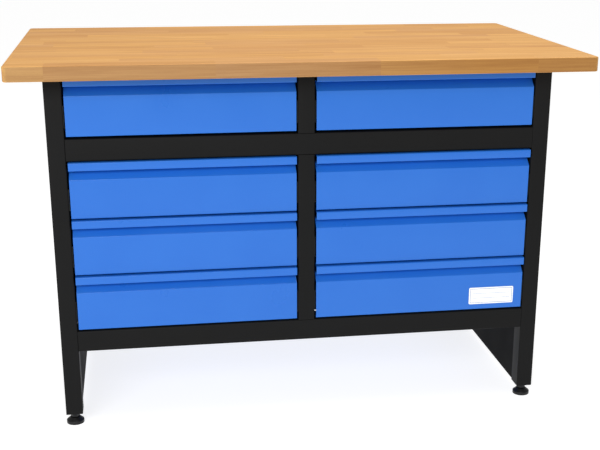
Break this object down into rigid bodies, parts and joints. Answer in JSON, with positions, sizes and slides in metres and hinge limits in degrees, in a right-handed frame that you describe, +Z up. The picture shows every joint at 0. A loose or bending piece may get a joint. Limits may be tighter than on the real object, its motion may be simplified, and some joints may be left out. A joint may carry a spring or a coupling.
{
  "type": "workbench with drawers",
  "caption": "Workbench with a thick beech top on a steel frame, two columns of full-extension drawers with folded grip lips, open leg space and levelling feet.",
  "frame": {"origin": "on the floor, under the middle of the worktop", "axes": "+Z up; the drawers face -Y; +X runs along the worktop, to the right seen from the front"},
  "size_m": [1.2, 0.7, 0.796],
  "materials": {
    "beech": "oiled laminated beech",
    "frame_black": "satin black powder coat",
    "drawer_blue": "smooth blue powder coat",
    "zinc_steel": "bright zinc plate",
    "slide_black": "black zinc plate",
    "black_screw": "blackened steel",
    "black_plastic": "moulded black plastic",
    "label_white": "blank white plate"
  },
  "bodies": {
    "frame": {"back_panel": "frame_black", "back_panel_screws": "black_screw", "bottom_rail": "frame_black", "foot_nuts": "zinc_steel", "front_left_post": "frame_black", "front_right_post": "frame_black", "front_top_rail": "frame_black", "left_side_panel": "frame_black", "lower_centre_post": "frame_black", "mid_rail": "frame_black", "outer_slides": "slide_black", "rear_centre_post": "frame_black", "rear_left_post": "frame_black", "rear_right_post": "frame_black", "rear_top_rail": "frame_black", "right_side_panel": "frame_black", "upper_centre_post": "frame_black", "worktop": "beech", "worktop_screws": "zinc_steel"},
    "left_drawer_1": {"left_drawer_1_front": "drawer_blue", "left_drawer_1_box": "drawer_blue", "left_drawer_1_inner_slides": "slide_black"},
    "left_middle_slides_1": {"left_drawer_1_middle_slides": "slide_black"},
    "left_drawer_2": {"left_drawer_2_front": "drawer_blue", "left_drawer_2_box": "drawer_blue", "left_drawer_2_inner_slides": "slide_black"},
    "left_middle_slides_2": {"left_drawer_2_middle_slides": "slide_black"},
    "left_drawer_3": {"left_drawer_3_front": "drawer_blue", "left_drawer_3_box": "drawer_blue", "left_drawer_3_inner_slides": "slide_black"},
    "left_middle_slides_3": {"left_drawer_3_middle_slides": "slide_black"},
    "left_drawer_4": {"left_drawer_4_front": "drawer_blue", "left_drawer_4_box": "drawer_blue", "left_drawer_4_inner_slides": "slide_black"},
    "left_middle_slides_4": {"left_drawer_4_middle_slides": "slide_black"},
    "right_drawer_1": {"right_drawer_1_front": "drawer_blue", "right_drawer_1_box": "drawer_blue", "right_drawer_1_inner_slides": "slide_black"},
    "right_middle_slides_1": {"right_drawer_1_middle_slides": "slide_black"},
    "right_drawer_2": {"right_drawer_2_front": "drawer_blue", "right_drawer_2_box": "drawer_blue", "right_drawer_2_inner_slides": "slide_black"},
    "right_middle_slides_2": {"right_drawer_2_middle_slides": "slide_black"},
    "right_drawer_3": {"right_drawer_3_front": "drawer_blue", "right_drawer_3_box": "drawer_blue", "right_drawer_3_inner_slides": "slide_black"},
    "right_middle_slides_3": {"right_drawer_3_middle_slides": "slide_black"},
    "right_drawer_4": {"right_drawer_4_front": "drawer_blue", "right_drawer_4_box": "drawer_blue", "right_drawer_4_inner_slides": "slide_black", "label_plate": "label_white"},
    "right_middle_slides_4": {"right_drawer_4_middle_slides": "slide_black"},
    "front_left_foot_pad": {"front_left_foot_pad": "black_plastic"},
    "front_left_foot_stem": {"front_left_foot_stem": "black_screw"},
    "front_right_foot_pad": {"front_right_foot_pad": "black_plastic"},
    "front_right_foot_stem": {"front_right_foot_stem": "black_screw"},
    "rear_left_foot_pad": {"rear_left_foot_pad": "black_plastic"},
    "rear_left_foot_stem": {"rear_left_foot_stem": "black_screw"},
    "rear_right_foot_pad": {"rear_right_foot_pad": "black_plastic"},
    "rear_right_foot_stem": {"rear_right_foot_stem": "black_screw"}
  },
  "joints": [
    {"name": "left_drawer_1_pull", "type": "slide", "parent": "frame", "child": "left_drawer_1", "axis": [0, -1, 0], "range_m": [0, 0.48]},
    {"name": "left_middle_slides_1_follow", "type": "slide", "parent": "frame", "child": "left_middle_slides_1", "axis": [0, -1, 0], "range_m": [0, 0.24]},
    {"name": "left_drawer_2_pull", "type": "slide", "parent": "frame", "child": "left_drawer_2", "axis": [0, -1, 0], "range_m": [0, 0.48]},
    {"name": "left_middle_slides_2_follow", "type": "slide", "parent": "frame", "child": "left_middle_slides_2", "axis": [0, -1, 0], "range_m": [0, 0.24]},
    {"name": "left_drawer_3_pull", "type": "slide", "parent": "frame", "child": "left_drawer_3", "axis": [0, -1, 0], "range_m": [0, 0.48]},
    {"name": "left_middle_slides_3_follow", "type": "slide", "parent": "frame", "child": "left_middle_slides_3", "axis": [0, -1, 0], "range_m": [0, 0.24]},
    {"name": "left_drawer_4_pull", "type": "slide", "parent": "frame", "child": "left_drawer_4", "axis": [0, -1, 0], "range_m": [0, 0.48]},
    {"name": "left_middle_slides_4_follow", "type": "slide", "parent": "frame", "child": "left_middle_slides_4", "axis": [0, -1, 0], "range_m": [0, 0.24]},
    {"name": "right_drawer_1_pull", "type": "slide", "parent": "frame", "child": "right_drawer_1", "axis": [0, -1, 0], "range_m": [0, 0.48]},
    {"name": "right_middle_slides_1_follow", "type": "slide", "parent": "frame", "child": "right_middle_slides_1", "axis": [0, -1, 0], "range_m": [0, 0.24]},
    {"name": "right_drawer_2_pull", "type": "slide", "parent": "frame", "child": "right_drawer_2", "axis": [0, -1, 0], "range_m": [0, 0.48]},
    {"name": "right_middle_slides_2_follow", "type": "slide", "parent": "frame", "child": "right_middle_slides_2", "axis": [0, -1, 0], "range_m": [0, 0.24]},
    {"name": "right_drawer_3_pull", "type": "slide", "parent": "frame", "child": "right_drawer_3", "axis": [0, -1, 0], "range_m": [0, 0.48]},
    {"name": "right_middle_slides_3_follow", "type": "slide", "parent": "frame", "child": "right_middle_slides_3", "axis": [0, -1, 0], "range_m": [0, 0.24]},
    {"name": "right_drawer_4_pull", "type": "slide", "parent": "frame", "child": "right_drawer_4", "axis": [0, -1, 0], "range_m": [0, 0.48]},
    {"name": "right_middle_slides_4_follow", "type": "slide", "parent": "frame", "child": "right_middle_slides_4", "axis": [0, -1, 0], "range_m": [0, 0.24]},
    {"name": "front_left_foot_height", "type": "slide", "parent": "frame", "child": "front_left_foot_pad", "axis": [0, 0, -1], "range_m": [0, 0.015]},
    {"name": "front_left_foot_turn", "type": "hinge", "parent": "front_left_foot_pad", "child": "front_left_foot_stem", "pos_m": [-0.514, -0.2435, 0.02], "axis": [0, 0, -1], "range_deg": [0, 3600]},
    {"name": "front_right_foot_height", "type": "slide", "parent": "frame", "child": "front_right_foot_pad", "axis": [0, 0, -1], "range_m": [0, 0.015]},
    {"name": "front_right_foot_turn", "type": "hinge", "parent": "front_right_foot_pad", "child": "front_right_foot_stem", "pos_m": [0.514, -0.2435, 0.02], "axis": [0, 0, -1], "range_deg": [0, 3600]},
    {"name": "rear_left_foot_height", "type": "slide", "parent": "frame", "child": "rear_left_foot_pad", "axis": [0, 0, -1], "range_m": [0, 0.015]},
    {"name": "rear_left_foot_turn", "type": "hinge", "parent": "rear_left_foot_pad", "child": "rear_left_foot_stem", "pos_m": [-0.514, 0.2435, 0.02], "axis": [0, 0, -1], "range_deg": [0, 3600]},
    {"name": "rear_right_foot_height", "type": "slide", "parent": "frame", "child": "rear_right_foot_pad", "axis": [0, 0, -1], "range_m": [0, 0.015]},
    {"name": "rear_right_foot_turn", "type": "hinge", "parent": "rear_right_foot_pad", "child": "rear_right_foot_stem", "pos_m": [0.514, 0.2435, 0.02], "axis": [0, 0, -1], "range_deg": [0, 3600]}
  ],
  "couplings": [
    {"joint": "left_middle_slides_1_follow", "follows": "left_drawer_1_pull", "ratio": 0.5},
    {"joint": "left_middle_slides_2_follow", "follows": "left_drawer_2_pull", "ratio": 0.5},
    {"joint": "left_middle_slides_3_follow", "follows": "left_drawer_3_pull", "ratio": 0.5},
    {"joint": "left_middle_slides_4_follow", "follows": "left_drawer_4_pull", "ratio": 0.5},
    {"joint": "right_middle_slides_1_follow", "follows": "right_drawer_1_pull", "ratio": 0.5},
    {"joint": "right_middle_slides_2_follow", "follows": "right_drawer_2_pull", "ratio": 0.5},
    {"joint": "right_middle_slides_3_follow", "follows": "right_drawer_3_pull", "ratio": 0.5},
    {"joint": "right_middle_slides_4_follow", "follows": "right_drawer_4_pull", "ratio": 0.5},
    {"joint": "front_left_foot_turn", "follows": "front_left_foot_height", "rad_per_m": 4188.8},
    {"joint": "front_right_foot_turn", "follows": "front_right_foot_height", "rad_per_m": 4188.8},
    {"joint": "rear_left_foot_turn", "follows": "rear_left_foot_height", "rad_per_m": 4188.8},
    {"joint": "rear_right_foot_turn", "follows": "rear_right_foot_height", "rad_per_m": 4188.8}
  ]
}
